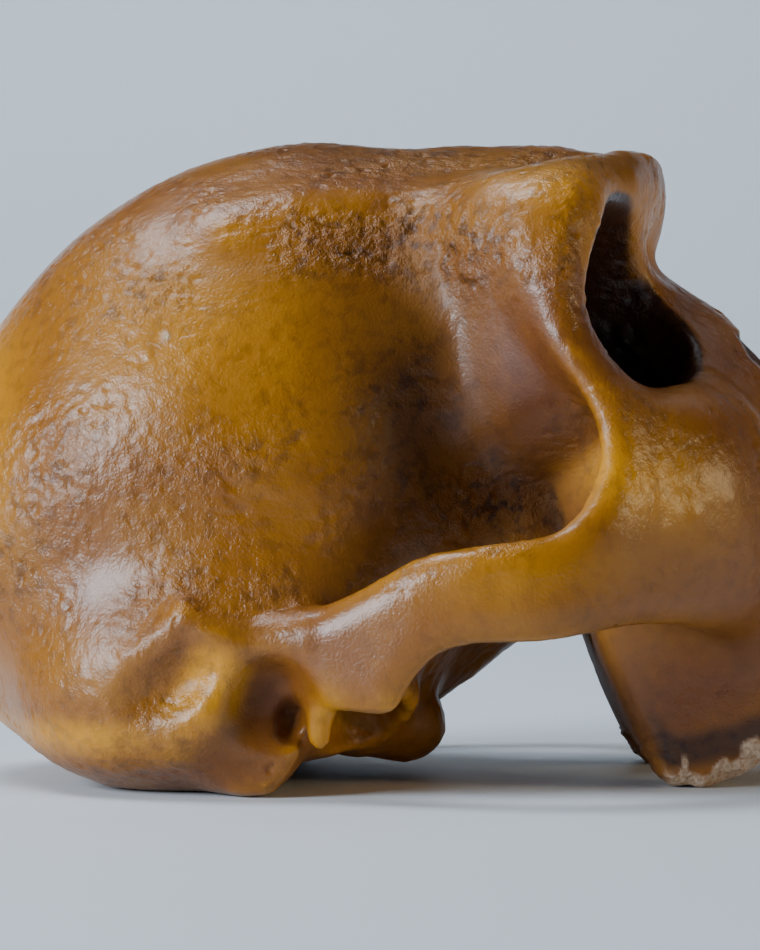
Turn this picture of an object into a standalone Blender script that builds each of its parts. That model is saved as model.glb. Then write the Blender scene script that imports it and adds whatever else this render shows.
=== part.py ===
"""Life-size model of a fossil hominin skull, cast solid and lying on its own base as a museum shows it.

The skull is drawn as one smooth solid: a field of distances built up from the braincase, the brows, the
cheek arches, the snout and the base, less the eye sockets, the nose, the palate and the other hollows. The
solid's surface is then meshed, thinned and sawn into its bones along the lines of the sutures.

Drawing units are millimetres. X runs forward, Y to the skull's left and Z up from the table.
"""

from math import cos, pi, radians, sin

import bmesh
import bpy
import numpy as np

MM = 0.001

# The drawing's x at the middle of the skull's length, where the part's origin lies.
MIDDLE_X = 14.9

# The skull lies tipped back: its ear-and-eye line climbs forward by this angle from the ear opening.
LIE = 38.0
EAR = (-14.9, 17.5)

# Mesh fineness: the cell of the first mesh and the share of its triangles that is kept.
CELL = 1.6
KEPT_SHARE = 0.075
BOX_LOW = (-84.0, -72.0, -8.0)
BOX_HIGH = (118.0, 72.0, 114.0)

# Saw cut between neighbouring bones.
SEAM = 0.3


def dist(*parts):
    return np.sqrt(sum(part * part for part in parts))


def join(a, b, k):
    """Union of two fields, filleted over k."""
    return np.minimum(a, b) - np.maximum(k - np.abs(a - b), 0) ** 2 / (4 * k)


def cut(a, b, k):
    """Field a less field b, with its edge rounded over k."""
    return np.maximum(a, -b) + np.maximum(k - np.abs(a + b), 0) ** 2 / (4 * k)


def meet(a, b, k):
    """What two fields share, with its edge rounded over k."""
    return np.maximum(a, b) + np.maximum(k - np.abs(a - b), 0) ** 2 / (4 * k)


def ramp(v, low, high):
    """Smooth step from 0 at low to 1 at high."""
    t = np.clip((v - low) / (high - low), 0, 1)
    return t * t * (3 - 2 * t)


def turn(x, z, centre, tilt):
    """Coordinates along and across a direction that climbs by tilt degrees."""
    dx, dz = x - centre[0], z - centre[1]
    c, s = cos(radians(tilt)), sin(radians(tilt))
    return dx * c + dz * s, dz * c - dx * s


def ellipsoid(p, centre, radii, tilt=0, yaw=0):
    x, y, z = p
    dx, dy = turn(x, y, centre, yaw)
    along, across = turn(dx, z - centre[2], (0, 0), tilt)
    a, b, c = along / radii[0], dy / radii[1], across / radii[2]
    size = dist(a, b, c) + 1e-9
    slope = dist(a / radii[0], b / radii[1], c / radii[2]) + 1e-9
    return size * (size - 1) / slope


def strand(p, points):
    """A rounded rib through points given as x, y, z and radius."""
    x, y, z = p
    best = None
    for (ax, ay, az, ar), (bx, by, bz, br) in zip(points, points[1:]):
        ux, uy, uz = bx - ax, by - ay, bz - az
        t = ((x - ax) * ux + (y - ay) * uy + (z - az) * uz) / (ux * ux + uy * uy + uz * uz)
        t = np.clip(t, 0, 1)
        d = dist(x - ax - t * ux, y - ay - t * uy, z - az - t * uz) - ar - t * (br - ar)
        best = d if best is None else np.minimum(best, d)
    return best


def outline(x, z, points):
    """Distance to a closed outline in the side view, negative inside it."""
    best, inside = None, None
    for (ax, az), (bx, bz) in zip(points, points[1:] + points[:1]):
        ux, uz = bx - ax, bz - az
        t = np.clip(((x - ax) * ux + (z - az) * uz) / (ux * ux + uz * uz), 0, 1)
        d = (x - ax - t * ux) ** 2 + (z - az - t * uz) ** 2
        crosses = ((az > z) != (bz > z)) & (x < ux * (z - az) / (uz if uz else 1e-9) + ax)
        best = d if best is None else np.minimum(best, d)
        inside = crosses if inside is None else inside ^ crosses
    return np.sqrt(best) * np.where(inside, -1, 1)


def smooth_curve(points, steps, closed=False):
    """A flowing curve through a few points, with so many steps in each span."""
    pts = [np.array(q, float) for q in points]
    n = len(pts)
    out = []
    for i in range(n if closed else n - 1):
        if closed:
            a, b, c, d = pts[i - 1], pts[i], pts[(i + 1) % n], pts[(i + 2) % n]
        else:
            a, b, c, d = pts[max(i - 1, 0)], pts[i], pts[i + 1], pts[min(i + 2, n - 1)]
        for t in np.arange(steps) / steps:
            flow = (c - a) * t + (2 * a - 5 * b + 4 * c - d) * t ** 2 + (3 * b - a - 3 * c + d) * t ** 3
            out.append(tuple(b + 0.5 * flow))
    if not closed:
        out.append(tuple(pts[-1]))
    return out


# The vault's outline in the side view: its radius about a centre, every 15 degrees from straight ahead.
VAULT_CENTRE = (-14.0, 54.0)
VAULT_REACH = (42, 46, 54, 70, 60.6, 55.2, 54, 52.9, 52.8, 53.4, 54.8, 58, 63, 67.0, 67.5, 61.5,
               54.0, 49.0, 45, 45, 45, 43, 41, 41)
VAULT_HALF_WIDTH = 48.5
VAULT_MEAN_HALF = 47
VAULT_POWER = 2.25


def vault_share(x, z):
    """How far out towards the vault's outline a place in the side view lies, 1 on the outline."""
    dx, dz = x - VAULT_CENTRE[0], z - VAULT_CENTRE[1]
    r = np.array(VAULT_REACH, float)
    n = len(r)
    s = (np.arctan2(dz, dx) / (2 * pi) * n) % n
    i = np.floor(s).astype(int)
    t = s - i
    a, b, c, d = (r[(i + j) % n] for j in (-1, 0, 1, 2))
    flow = (c - a) * t + (2 * a - 5 * b + 4 * c - d) * t ** 2 + (3 * b - a - 3 * c + d) * t ** 3
    return dist(dx, dz) / (b + 0.5 * flow)


def vault_width(x, z):
    """Half width of the vault: it narrows behind the sockets and towards its roof."""
    u, w = turn(x, z, EAR, LIE)
    return VAULT_HALF_WIDTH - 16 * ramp(u, 8, 92) - 3 * ramp(w, 45, 80)


def braincase(p):
    x, y, z = p
    size = (vault_share(x, z) ** VAULT_POWER + (y / vault_width(x, z)) ** VAULT_POWER) ** (1 / VAULT_POWER)
    return (size - 1) * VAULT_MEAN_HALF


def vault_side(x, z):
    """How far out the vault's side lies at a place in the side view."""
    share = float(min(vault_share(x, z), 1))
    return float(vault_width(x, z)) * (1 - share ** VAULT_POWER) ** (1 / VAULT_POWER)


# Ridge of the temporal line, from the brow's outer corner back over the side wall.
TEMPORAL_ROUTE = ((24, 91.4), (17, 92.2), (8, 93.2), (-3, 93.6), (-14, 92.6), (-24, 90))
BROW = ((43.4, 0, 100, 5.2), (42.3, 9, 100.1, 5.0), (38.0, 21, 99.2, 5.0), (30.8, 33, 96.4, 4.6),
        (25.8, 40.0, 92, 4.0), (25.4, 42.5, 85, 3.6))
BROW_EDGE = ((46.2, 0, 103.5, 2.2), (44.4, 9, 103.6, 2.1), (40.0, 18, 102.6, 2.0))


def temporal_line(p):
    ridge = [(x, vault_side(x, z) - 3.7 + 0.09 * x, z, 2.6 + 0.01 * x) for x, z in TEMPORAL_ROUTE]
    return strand(p, [(30.5, 39.5, 92, 3.6)] + ridge)


def forehead(p):
    """The low slope that fills the hollow behind the brows."""
    middle = strand(p, ((16, 0, 95.4, 9), (37, 0, 96.6, 7.5)))
    sides = ellipsoid(p, (23, 24, 88), (16, 17, 12.5))
    corners = ellipsoid(p, (22, 34.5, 88.5), (8, 8.5, 10.5))
    return join(join(middle, sides, 8), corners, 8)


def brow(p):
    glabella = strand(p, ((41.4, 0, 95.5, 6.6), (38.4, 8.5, 96, 5.6), (38.2, 14, 95.2, 4.6)))
    return join(join(strand(p, BROW), glabella, 4), strand(p, BROW_EDGE), 2.5)


# Eye socket: a long cone-like hollow that opens forward and a little outward.
SOCKET_CENTRE = (38.5, 28.3, 77.4)
SOCKET_RADII = (32.0, 17.2, 15.3)
SOCKET_TILT = 39.0
SOCKET_YAW = 24.0
SOCKET_WALL = 5
# The rim's plane: a point on it and the direction it faces.
RIM_POINT = (40, 26, 80)
RIM_FACING = (0.88, 0.42, 0.22)


def socket(p, wall=0.0):
    radii = tuple(radius + wall for radius in SOCKET_RADII)
    return ellipsoid(p, SOCKET_CENTRE, radii, SOCKET_TILT, SOCKET_YAW)


def socket_shell(p):
    """Bone around the socket, ending at a rim that runs back towards the cheek."""
    ahead = sum((place - on_rim) * facing for place, on_rim, facing in zip(p, RIM_POINT, RIM_FACING))
    return meet(socket(p, SOCKET_WALL), ahead, 2.5)


# Snout: its midline profile from the root of the nose to the jaw's front, then its underside and back.
NOSE_LINE = [(47.8, 93), (47.9, 89), (49.7, 86.6), (53.8, 83.9), (60.7, 79.3), (67.8, 73.2), (75.6, 65.4),
             (82.5, 57.8), (90, 54.5), (98, 52), (106, 49.6)]
SNOUT = [(44, 97)] + NOSE_LINE + [
    (111, 46.6), (112, 43.5), (109, 39.5), (100, 30.5), (88, 20.5), (76, 11.5), (65, 5), (58, 1.6),
    (53, -0.6), (49, -0.8), (45, 3), (41.5, 9), (38.5, 16), (35, 25.5), (32, 40), (30, 55), (32, 72),
    (38, 88)]
AHEAD = [(40, 120)] + NOSE_LINE + [(112, 46), (124, 28), (124, -30), (-60, -30), (-60, 120)]
PALATE_TILT = 36.0
PALATE_BACK = (50.0, 0.0)


def snout(p):
    x, y, z = p
    side = outline(x, z, smooth_curve(SNOUT, 2, True))
    depth = -outline(x, z, AHEAD)
    along, above = turn(x, z, PALATE_BACK, PALATE_TILT)
    power = 1.5 + 0.6 * ramp(along, 20, 66) * (1 - ramp(above, 16, 46))
    width = 33.5 + 3 * ramp(above, 8, 34) - 18 * ramp(z, 66, 96)
    behind = np.maximum(1 - depth / 30, 0)
    flank = ((behind ** power + (y / width) ** power) ** (1 / power) - 1) * 30
    ahead = np.maximum((along - 22) / 54, 0)
    arcade = ((ahead ** 2.3 + (y / 32.5) ** 2.3) ** (1 / 2.3) - 1) * 32
    return meet(meet(flank, side, 5), arcade, 7)


# Cheek and arch: their outline in the side view, and how far out they stand along x.
CHEEK = [(-24, 25), (-18, 27.8), (-14, 28.6), (-7.8, 31), (-1.6, 34.1), (3.1, 37.0), (7.7, 39.0),
         (15.4, 40.2), (23.1, 41.2), (27.8, 42.7), (31.2, 45.8), (33.7, 50.4), (34.7, 55.1), (33.8, 60),
         (31.4, 65.3), (28.4, 70.6), (26.4, 75.6), (25.2, 80.5), (24.4, 86), (24, 92), (29.4, 94), (30, 88.6),
         (29.4, 80.7), (30.5, 74.5), (33.6, 70.6), (38.6, 66.8), (45, 63.6), (51.5, 63), (58.5, 60), (65, 53),
         (68, 40), (64, 30), (58, 27), (48, 27.3), (40.6, 27.6), (34, 26.9), (24.7, 25.5), (14.7, 25.2),
         (9.5, 23.8), (6.2, 21), (4.2, 18), (2.9, 15.5), (0.8, 14.0), (-5.4, 14.3), (-9, 15), (-16, 19),
         (-24, 20)]
FLARE = ((-24, 46), (-12, 51.3), (0, 57.3), (14, 61.2), (27, 60.4), (36, 56.3), (46, 48.2), (56, 38.6),
         (70, 24))


def cheek(p):
    x, y, z = p
    side = outline(x, z, smooth_curve(CHEEK, 2, True))
    flare = np.array(smooth_curve(FLARE, 8))
    lean = 0.5 * meet(z - 50, 0, 14) + 0.12 * meet(40 - z, 0, 14) * ramp(x, 20, 45)
    middle = np.interp(x, flare[:, 0], flare[:, 1]) - lean
    half = 3.6 + 1.4 * ramp(x, 28, 42) + 1.6 * ramp(-x, 0, 16)
    rim = np.maximum(1 + side / 5.5, 0)
    return ((rim ** 2.2 + (np.abs(y - middle) / half) ** 2.2) ** (1 / 2.2) - 1) * 3.8


# Ridge on the snout's side, from the socket's inner corner down beside the nose.
SNOUT_RIDGE = ((51.0, 25, 66.8, 1.2), (53.6, 26, 66, 1.4), (56.4, 28.5, 63, 1.5), (58.9, 31.5, 59.8, 1.6),
               (60.2, 33.8, 56, 1.6), (61.0, 35.2, 51, 1.4))
SUPRAMASTOID_CREST = ((-45, 42.5, 14.5, 1.6), (-39.5, 47.4, 19.2, 2.3), (-34.5, 50.0, 24.2, 2.6),
                      (-30.6, 51.4, 28.4, 2.7), (-26.5, 51.8, 26, 2.6), (-20, 51, 24.5, 2.6),
                      (-12, 51.2, 25.6, 3.6))
NUCHAL_CREST = ((-66, 2, 15, 2.5), (-60, 16, 12, 2.5), (-51, 31, 10.5, 2.8), (-41.5, 41.5, 10, 3),
                (-32, 46.8, 10.5, 3), (-27.5, 49, 15.5, 3), (-25.5, 50.2, 21, 3))
MASTOID_EDGE = ((-21, 45.5, 1.9, 1.5), (-18, 46.8, 2.4, 1.5), (-15.8, 47.4, 4.8, 1.4),
                (-14.2, 47.8, 7.6, 1.3))


def ear_region(p):
    """The swollen wall around the ear, with the mastoid, the neck's rounded seat and its crest."""
    body = ellipsoid(p, (-25, 31, 23), (27, 21, 20), 15)
    mastoid = ellipsoid(p, (-20.8, 42.5, 10.7), (8.9, 7.4, 10.8))
    neck_seat = ellipsoid(p, (-36, 24, 16.5), (24, 24, 16), 3)
    body = join(join(body, mastoid, 6), neck_seat, 12)
    return join(join(body, strand(p, NUCHAL_CREST), 7), strand(p, MASTOID_EDGE), 3)


def base(p):
    """Underside between the ears: its body, the two condyles and the stem that climbs to the face."""
    body = ellipsoid(p, (-7, 27, 14.5), (13, 13, 9))
    front = ellipsoid(p, (3.8, 12, 9.4), (7.4, 6.4, 6.6))
    condyle = join(front, ellipsoid(p, (-4, 17, 10.5), (8, 7, 6.5)), 4)
    stem = strand(p, ((2, 0, 18, 9), (12, 0, 24, 8.5), (22, 0, 34, 9)))
    root = ellipsoid(p, (22, 8, 40), (16, 20, 15), LIE)
    return join(join(join(body, condyle, 3), stem, 5), root, 6)


# Hollows, each as centre, radii, tilt and the rounding of its edge.
HOLLOWS = (
    ("nose opening", (73, 0, 68.0), (16.5, 10.5, 10.5), -45, 1.5),
    ("nostril", (77.0, 5.6, 62.0), (10, 7.4, 9), -45, 2.0),
    ("nose passage", (62, 0, 54), (20, 9, 14), 38, 2.0),
    ("palate", (72.2, 0, 13.7), (40, 20.5, 15), PALATE_TILT, 4.0),
    ("rear nostril", (37, 8, 33), (12, 6, 10), 38, 2.0),
    ("foramen magnum", (-8, 0, 8), (15, 12.5, 20), 0, 2.5),
    ("jaw joint", (-1.5, 36, 10.5), (7.5, 13, 6.5), 0, 3.0),
    ("ear hollow", (-17.8, 57.0, 14.6), (7.8, 10.0, 6.6), 75, 3.5),
    ("dip below the crest", (-33.5, 57.0, 17.6), (9.0, 7.5, 4.2), 25, 5.0),
    ("ear canal", (-14.4, 50, 12.4), (2.6, 7, 3.9), 0, 1.2),
)
BEHIND_JOINT = ((-10.2, 49, 20, 4.0), (-9.9, 49.2, 14.5, 3.0), (-9.4, 48.8, 9.3, 1.5))


def skull(p):
    """The whole skull: negative inside, zero on its surface. The two halves mirror each other."""
    solid = join(braincase(p), temporal_line(p), 10)
    solid = join(solid, forehead(p), 8)
    solid = join(solid, ear_region(p), 9)
    solid = join(solid, base(p), 5)
    solid = join(solid, socket_shell(p), 9)
    solid = join(solid, brow(p), 6)
    cheek_root = ellipsoid(p, (47.5, 33.5, 46.5), (14, 14.5, 16.5), 10)
    solid = join(solid, join(snout(p), cheek_root, 9), 4)
    solid = join(solid, strand(p, SUPRAMASTOID_CREST), 3.5)
    solid = join(solid, cheek(p), 3.5 + 4.5 * ramp(p[0], 2, 26))
    solid = join(solid, strand(p, BEHIND_JOINT), 3)
    solid = join(solid, strand(p, SNOUT_RIDGE), 3.5)
    solid = cut(solid, socket(p), 2)
    for name, centre, radii, tilt, rounding in HOLLOWS:
        solid = cut(solid, ellipsoid(p, centre, radii, tilt), rounding)
    return solid


def sampled(cell):
    """The field on a grid of cells, the left half worked out and mirrored; also the grid's corner."""
    xs = np.arange(BOX_LOW[0], BOX_HIGH[0], cell)
    ys = np.arange(cell / 2, BOX_HIGH[1], cell)
    zs = np.arange(BOX_LOW[2], BOX_HIGH[2], cell)
    half = skull((xs[:, None, None], ys[None, :, None], zs[None, None, :]))
    values = np.concatenate([half[:, ::-1], half], axis=1)
    return values, np.array((xs[0], -ys[-1], zs[0]))


CORNERS = [(i, j, k) for i in (0, 1) for j in (0, 1) for k in (0, 1)]
EDGES = [(a, b) for a in range(8) for b in range(a + 1, 8)
         if sum(abs(m - n) for m, n in zip(CORNERS[a], CORNERS[b])) == 1]


def fill_doubtful(values):
    """Fill the grid places where the surface could run two ways, so that it never touches itself."""
    filled = -0.02
    changed = True
    while changed:
        changed = False
        for order in ((0, 1, 2), (1, 2, 0), (2, 0, 1)):
            v = values.transpose(order)
            near, far = v[:-1, :-1], v[1:, 1:]
            left, right = v[1:, :-1], v[:-1, 1:]
            same = ((near < 0) == (far < 0)) & ((left < 0) == (right < 0))
            doubtful = same & ((near < 0) != (left < 0))
            if doubtful.any():
                changed = True
                for corner in (near, far, left, right):
                    corner[doubtful & (corner >= 0)] = filled
        for i, j in ((0, 0), (0, 1), (1, 0), (1, 1)):
            flipped = values[:, ::-1] if i else values
            flipped = flipped[:, :, ::-1] if j else flipped
            corners = [flipped[a:a - 1 or None, b:b - 1 or None, c:c - 1 or None] for a, b, c in CORNERS]
            count = sum((corner < 0).astype(int) for corner in corners)
            pair = (count == 2) & (corners[0] < 0) & (corners[7] < 0)
            pair |= (count == 6) & (corners[0] >= 0) & (corners[7] >= 0)
            if pair.any():
                changed = True
                for corner in corners:
                    corner[pair & (corner >= 0)] = filled
    return values


def surface(values, corner, cell):
    """Points and four-sided faces of the surface where the grid's values cross zero."""
    inside = values < 0
    nx, ny, nz = (n - 1 for n in values.shape)
    count = sum(inside[i:nx + i, j:ny + j, k:nz + k].astype(int) for i, j, k in CORNERS)
    mixed = (count > 0) & (count < 8)
    number = np.full(mixed.shape, -1)
    number[mixed] = np.arange(mixed.sum())
    picked = [values[i:nx + i, j:ny + j, k:nz + k][mixed] for i, j, k in CORNERS]
    total = np.zeros((mixed.sum(), 3))
    hits = np.zeros(mixed.sum())
    for a, b in EDGES:
        crossing = (picked[a] < 0) != (picked[b] < 0)
        t = picked[a][crossing] / (picked[a][crossing] - picked[b][crossing])
        start, end = np.array(CORNERS[a], float), np.array(CORNERS[b], float)
        total[crossing] += start + t[:, None] * (end - start)
        hits[crossing] += 1
    points = corner + cell * (np.argwhere(mixed) + total / hits[:, None])

    faces = []
    for axis in range(3):
        order = (axis, (axis + 1) % 3, (axis + 2) % 3)
        side, cells = inside.transpose(order), number.transpose(order)
        low, high = side[:-1, 1:-1, 1:-1], side[1:, 1:-1, 1:-1]
        for change, turned in ((low & ~high, False), (high & ~low, True)):
            i, j, k = np.nonzero(change)
            ring = [cells[i, j, k], cells[i, j + 1, k], cells[i, j + 1, k + 1], cells[i, j, k + 1]]
            faces.append(np.stack(ring[::-1] if turned else ring, axis=1))
    return points, np.concatenate(faces).tolist()


def in_place(points):
    """Drawing points in the part's own frame, in metres."""
    return (np.asarray(points, float) - (MIDDLE_X, 0, 0)) * MM


def new_object(name, points, faces):
    mesh = bpy.data.meshes.new(name)
    mesh.from_pydata(in_place(points).tolist(), [], faces)
    mesh.update()
    obj = bpy.data.objects.new(name, mesh)
    bpy.context.collection.objects.link(obj)
    return obj


def whole_skull():
    """The uncut skull as one closed mesh of a few thousand triangles."""
    values, corner = sampled(CELL)
    obj = new_object("whole_skull", *surface(fill_doubtful(values), corner, CELL))
    thin = obj.modifiers.new("thin", "DECIMATE")
    thin.ratio = KEPT_SHARE
    thin.use_symmetry = True
    thin.symmetry_axis = "Y"
    return obj


# Places where the sutures meet, in the side view.
BREGMA = (-26, 105)
PTERION = (-5, 64)
SQUAMA_TOP = (-30, 54)
SQUAMA_BACK = (-45, 36)
ASTERION = (-46, 14)
MASTOID_BACK = (-30, 4)
LAMBDA = (-79, 51)
WING_FOOT = (12, 45)
WING_TOP = (10, 74)
SOCKET_FOOT = (20, 42)
SOCKET_SIDE = (26.5, 62)
PILLAR_BACK = (25.3, 80)
PILLAR_TOP = (25.3, 85)
NASION = (47.2, 88.3)

# Table level in the outlines below: drawn half a saw cut low, because every outline draws in by that much.
TABLE = -SEAM / 2
FAR = 130
WIDE = 75
BASE_HALF = 22
CHEEK_INNER = 31
NOSE_HALF = 6.5

FRONTAL = [PTERION, WING_TOP, PILLAR_BACK, PILLAR_TOP, NASION, (FAR, 88.3), (FAR, FAR), (-27, FAR), BREGMA]
PARIETAL = [BREGMA, (-27, FAR), (-FAR, FAR), (-FAR, 101), LAMBDA, ASTERION, SQUAMA_BACK, SQUAMA_TOP, PTERION]
OCCIPITAL = [ASTERION, LAMBDA, (-FAR, 101), (-FAR, TABLE), (-30, TABLE), MASTOID_BACK]
EAR_AND_BASE = [MASTOID_BACK, (-30, TABLE), (15.5, TABLE), SOCKET_FOOT, WING_FOOT, PTERION, SQUAMA_TOP,
                SQUAMA_BACK, ASTERION]
SPHENOID = [PTERION, WING_FOOT, SOCKET_FOOT, SOCKET_SIDE, PILLAR_BACK, WING_TOP]
FACE = [(15.5, TABLE), (FAR, TABLE), (FAR, 88.3), NASION, PILLAR_TOP, PILLAR_BACK, SOCKET_SIDE, SOCKET_FOOT]
CHEEK_BONE = [(62, 22), (62, 72), (42, 95), (10, 95), (10, 22)]
NASAL = [(40, 95), (40, 84), (52, 77), (62, 68), (76, 68), (100, 95)]


def drawn_in(points, by):
    """An outline with every edge moved inward by a distance."""
    pts = np.array(points, float)
    ahead = np.roll(pts, -1, axis=0) - pts
    ahead /= np.linalg.norm(ahead, axis=1)[:, None]
    area = np.sum(pts[:, 0] * np.roll(pts[:, 1], -1) - np.roll(pts[:, 0], -1) * pts[:, 1])
    inward = np.stack([-ahead[:, 1], ahead[:, 0]], axis=1) * np.sign(area)
    offset = np.sum(inward * pts, axis=1) + by
    corners = []
    for i in range(len(pts)):
        corners.append(np.linalg.solve(inward[[i - 1, i]], offset[[i - 1, i]]))
    return corners


def saw_block(points, low, high, room):
    """A block on a side-view outline drawn in by room, or out where that is negative, from y low to high."""
    corners = drawn_in(points, room)
    n = len(corners)
    faces = [tuple(range(n)), tuple(range(2 * n - 1, n - 1, -1))]
    faces += [(i, i + n, (i + 1) % n + n, (i + 1) % n) for i in range(n)]
    block = new_object("saw_block", [(x, y, z) for y in (low, high) for x, z in corners], faces)
    shape = bmesh.new()
    shape.from_mesh(block.data)
    bmesh.ops.recalc_face_normals(shape, faces=shape.faces)
    shape.to_mesh(block.data)
    shape.free()
    block.hide_render = True
    block.display_type = "WIRE"
    return block


def evaluated_mesh(obj):
    depsgraph = bpy.context.evaluated_depsgraph_get()
    return bpy.data.meshes.new_from_object(obj.evaluated_get(depsgraph))


def keep_largest_piece(mesh):
    """Delete every loose crumb that sawing leaves, so that a bone is one closed piece."""
    shape = bmesh.new()
    shape.from_mesh(mesh)
    waiting = set(shape.verts)
    pieces = []
    while waiting:
        piece, edge = set(), [waiting.pop()]
        while edge:
            vert = edge.pop()
            piece.add(vert)
            for link in vert.link_edges:
                other = link.other_vert(vert)
                if other in waiting:
                    waiting.remove(other)
                    edge.append(other)
        pieces.append(piece)
    pieces.sort(key=len)
    for crumb in pieces[:-1]:
        bmesh.ops.delete(shape, geom=list(crumb), context="VERTS")
    shape.to_mesh(mesh)
    shape.free()


def bone_material(name, colour):
    material = bpy.data.materials.new(name)
    material.use_nodes = True
    shader = material.node_tree.nodes["Principled BSDF"]
    shader.inputs["Base Color"].default_value = (*colour, 1)
    shader.inputs["Roughness"].default_value = VARNISH_ROUGHNESS
    shader.inputs["Metallic"].default_value = 0
    material.diffuse_color = (*colour, 1)
    return material


def bone(name, whole, keep, remove, colour):
    """One bone: what the whole skull shares with the block it keeps, less the blocks it makes room for."""
    obj = bpy.data.objects.new(name, whole.data)
    bpy.context.collection.objects.link(obj)
    blocks = [("INTERSECT", saw_block(*keep, SEAM / 2))]
    blocks += [("DIFFERENCE", saw_block(*block, -SEAM / 2)) for block in remove]
    for operation, block in blocks:
        saw = obj.modifiers.new(operation.lower(), "BOOLEAN")
        saw.operation = operation
        saw.object = block
    mesh = evaluated_mesh(obj)
    keep_largest_piece(mesh)
    mesh.name = name
    obj.modifiers.clear()
    obj.data = mesh
    obj.data.materials.clear()
    obj.data.materials.append(bone_material(name, colour))
    mesh.shade_smooth()
    mesh.set_sharp_from_angle(angle=SMOOTH_EDGE)
    for operation, block in blocks:
        bpy.data.objects.remove(block)
    return obj


AMBER = (0.42, 0.19, 0.035)
OCHRE = (0.36, 0.16, 0.035)
BROWN = (0.27, 0.11, 0.03)
RUSSET = (0.22, 0.075, 0.025)
VARNISH_ROUGHNESS = 0.32
SMOOTH_EDGE = radians(40)


def main():
    for obj in list(bpy.data.objects):
        bpy.data.objects.remove(obj)
    uncut = whole_skull()
    whole = bpy.data.objects.new("thinned_skull", evaluated_mesh(uncut))
    bpy.context.collection.objects.link(whole)

    cheeks = [(CHEEK_BONE, CHEEK_INNER, WIDE), (CHEEK_BONE, -WIDE, -CHEEK_INNER)]
    nose = (NASAL, -NOSE_HALF, NOSE_HALF)
    behind_face = [(points, -WIDE, WIDE) for points in (FRONTAL, SPHENOID, EAR_AND_BASE)]
    bone("frontal_bone", whole, (FRONTAL, -WIDE, WIDE), [], BROWN)
    bone("occipital_bone", whole, (OCCIPITAL, -WIDE, WIDE), [], OCHRE)
    bone("sphenoid_bone", whole, (SPHENOID, -WIDE, WIDE), [], RUSSET)
    bone("skull_base", whole, (EAR_AND_BASE, -BASE_HALF, BASE_HALF), [], RUSSET)
    bone("upper_jaw", whole, (FACE, -WIDE, WIDE), cheeks + [nose], RUSSET)
    bone("nasal_bones", whole, nose, [(FRONTAL, -WIDE, WIDE)], BROWN)
    for side, word in ((-1, "right"), (1, "left")):
        middle, out = SEAM / 2 * side, WIDE * side
        ear_out, cheek_out = BASE_HALF * side, CHEEK_INNER * side
        bone("parietal_" + word, whole, (PARIETAL, *sorted((middle, out))), [], OCHRE)
        bone("temporal_" + word, whole, (EAR_AND_BASE, *sorted((ear_out, out))), [], BROWN)
        bone("cheek_bone_" + word, whole, (CHEEK_BONE, *sorted((cheek_out, out))), behind_face, AMBER)
    bpy.data.objects.remove(whole)
    bpy.data.objects.remove(uncut)


main()
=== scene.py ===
# %% [markdown]
# # A fossil skull, cast for a museum
#
# This lesson makes the looks of a life-size cast of a fossil skull. The skull has no lower jaw and no teeth,
# and it lies tipped back on its base and on the rear of its upper jaw. The solids underneath are already
# modelled and sawn into bones, and they fix every size. What is made here is one fine skin of varnished,
# stained resin that covers them all, because on the cast no saw cut shows.
#
# The file runs from top to bottom. It loads the solids, sets up the picture, draws the skull as a field of
# distances, turns the field into a dense mesh, roughens it, colours it and hands it over.

# %% Load the solids
from math import cos, pi, radians, sin

import bpy
import numpy as np
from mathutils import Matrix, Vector


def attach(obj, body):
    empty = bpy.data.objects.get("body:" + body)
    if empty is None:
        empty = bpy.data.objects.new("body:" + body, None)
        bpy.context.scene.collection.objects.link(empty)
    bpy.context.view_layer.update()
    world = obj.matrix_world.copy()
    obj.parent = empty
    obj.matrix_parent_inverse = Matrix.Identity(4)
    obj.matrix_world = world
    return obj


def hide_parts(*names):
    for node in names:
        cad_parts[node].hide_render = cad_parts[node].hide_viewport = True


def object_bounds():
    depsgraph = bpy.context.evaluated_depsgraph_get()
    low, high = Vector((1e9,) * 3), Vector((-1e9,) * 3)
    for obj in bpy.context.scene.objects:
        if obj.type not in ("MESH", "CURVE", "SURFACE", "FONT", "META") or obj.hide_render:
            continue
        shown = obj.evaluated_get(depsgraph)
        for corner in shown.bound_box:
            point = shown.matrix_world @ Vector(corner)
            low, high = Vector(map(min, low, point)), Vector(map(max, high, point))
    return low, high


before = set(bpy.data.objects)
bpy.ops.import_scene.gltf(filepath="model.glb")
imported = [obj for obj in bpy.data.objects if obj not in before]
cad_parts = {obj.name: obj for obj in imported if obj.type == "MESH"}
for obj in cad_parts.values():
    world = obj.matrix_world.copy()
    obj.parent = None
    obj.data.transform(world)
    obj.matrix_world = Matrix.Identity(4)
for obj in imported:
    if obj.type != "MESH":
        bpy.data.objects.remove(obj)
cad_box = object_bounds()

MM = 0.001
cad_low, cad_high = (np.array(corner) / MM for corner in cad_box)
print("the solids reach from", cad_low.round(1), "to", cad_high.round(1), "mm")

# %% [markdown]
# ## Where the picture is taken from
#
# The skull is seen level from its right side, from so near that the cheek stands out larger than the
# midline does. A long lens far away would lose that, so the camera stands 600 mm from the midline and its
# lens is worked out from how many picture points a millimetre covers there. The skull is drawn about a
# place 14.9 mm behind the middle of the solids, and the camera looks straight at that place.

# %% Camera
PICTURE_HEIGHT = 950
SENSOR = 36.0
CAMERA_DISTANCE = 600.0
CAMERA_HEIGHT = 51.2
MIDDLE_X = 14.9
FOCAL_POINTS = 3492.0

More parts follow.
